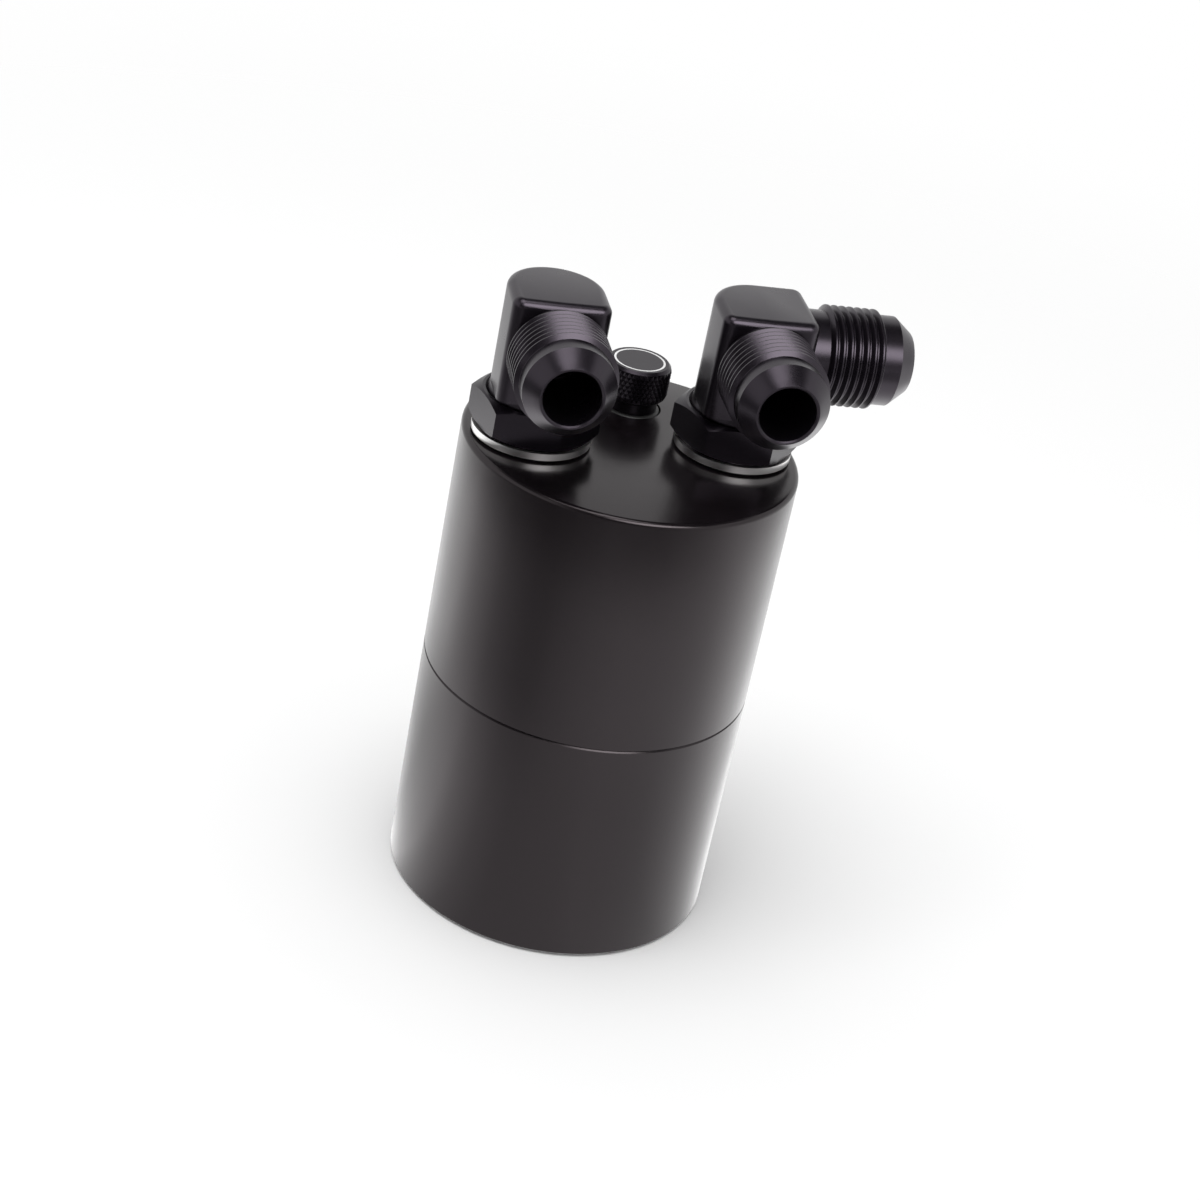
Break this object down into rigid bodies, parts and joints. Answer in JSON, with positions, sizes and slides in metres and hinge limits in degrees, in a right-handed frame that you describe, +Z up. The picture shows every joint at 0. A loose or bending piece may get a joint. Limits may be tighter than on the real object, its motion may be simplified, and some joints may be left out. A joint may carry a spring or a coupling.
{
  "type": "oil catch can",
  "caption": "Cylindrical black oil catch can that unscrews at mid height, with a swivelling elbow and tee with threaded outlets, jam nuts and a knurled dipstick on top.",
  "frame": {"origin": "centre of the can's flat bottom face", "axes": "+Z up along the can's axis, +X towards the tee's side outlet, -Y towards the front outlets"},
  "size_m": [0.0965, 0.0762, 0.1505],
  "materials": {
    "can_black": "satin black anodised, fine turning lines",
    "fitting_black": "black anodised, smooth satin",
    "nut_black": "black anodised, satin",
    "knob_black": "black anodised, knurled",
    "steel": "bright turned steel",
    "rubber": "black nitrile",
    "rod_metal": "turned bare aluminium",
    "tube_metal": "bare drawn tube",
    "screen_steel": "perforated stainless sheet",
    "wire_pack": "rolled knitted stainless wire",
    "spacer_metal": "turned bare aluminium",
    "screw_steel": "zinc-plated steel"
  },
  "bodies": {
    "cup": {"lower_cup": "can_black"},
    "seal": {"shell_seal": "rubber"},
    "shell": {"upper_shell": "can_black", "inlet_tube": "tube_metal", "upper_screen": "screen_steel", "mesh_pack": "wire_pack", "lower_screen": "screen_steel", "upper_spacers": "spacer_metal", "pack_spacers": "spacer_metal", "strainer_screws": "screw_steel"},
    "dip_seal": {"dipstick_seal": "rubber"},
    "dipstick": {"dipstick_knob": "knob_black", "dipstick_rod": "rod_metal"},
    "elbow": {"left_elbow": "fitting_black", "left_port_ring": "rubber"},
    "elbow_washer": {"left_washer": "steel"},
    "elbow_nut": {"left_jam_nut": "nut_black"},
    "tee": {"right_tee": "fitting_black", "right_port_ring": "rubber"},
    "tee_washer": {"right_washer": "steel"},
    "tee_nut": {"right_jam_nut": "nut_black"}
  },
  "joints": [
    {"name": "shell_rise", "type": "slide", "parent": "cup", "child": "seal", "axis": [0, 0, 1], "range_m": [0, 0.00901]},
    {"name": "shell_turn", "type": "hinge", "parent": "seal", "child": "shell", "pos_m": [0, 0, 0.0568], "axis": [0, 0, 1], "range_deg": [0, 2160]},
    {"name": "dipstick_rise", "type": "slide", "parent": "shell", "child": "dip_seal", "axis": [0, 0, 1], "range_m": [0, 0.00901]},
    {"name": "dipstick_turn", "type": "hinge", "parent": "dip_seal", "child": "dipstick", "pos_m": [0.004, 0.019, 0.1143], "axis": [0, 0, 1], "range_deg": [0, 2160]},
    {"name": "elbow_swivel", "type": "hinge", "parent": "shell", "child": "elbow", "pos_m": [-0.0232, 0, 0.1143], "axis": [0, 0, 1], "range_deg": [-180, 20]},
    {"name": "elbow_nut_rise", "type": "slide", "parent": "elbow", "child": "elbow_washer", "axis": [0, 0, 1], "range_m": [0, 0.00137]},
    {"name": "elbow_nut_turn", "type": "hinge", "parent": "elbow_washer", "child": "elbow_nut", "pos_m": [-0.0232, 0, 0.1143], "axis": [0, 0, 1], "range_deg": [0, 270]},
    {"name": "tee_swivel", "type": "hinge", "parent": "shell", "child": "tee", "pos_m": [0.0232, 0, 0.1143], "axis": [0, 0, 1], "range_deg": [-20, 90]},
    {"name": "tee_nut_rise", "type": "slide", "parent": "tee", "child": "tee_washer", "axis": [0, 0, 1], "range_m": [0, 0.00137]},
    {"name": "tee_nut_turn", "type": "hinge", "parent": "tee_washer", "child": "tee_nut", "pos_m": [0.0232, 0, 0.1143], "axis": [0, 0, 1], "range_deg": [0, 270]}
  ],
  "couplings": [
    {"joint": "shell_rise", "follows": "shell_turn", "m_per_rad": 0.00023873},
    {"joint": "dipstick_rise", "follows": "dipstick_turn", "m_per_rad": 0.00023873},
    {"joint": "elbow_nut_rise", "follows": "elbow_nut_turn", "m_per_rad": 0.00028871},
    {"joint": "tee_nut_rise", "follows": "tee_nut_turn", "m_per_rad": 0.00028871}
  ]
}
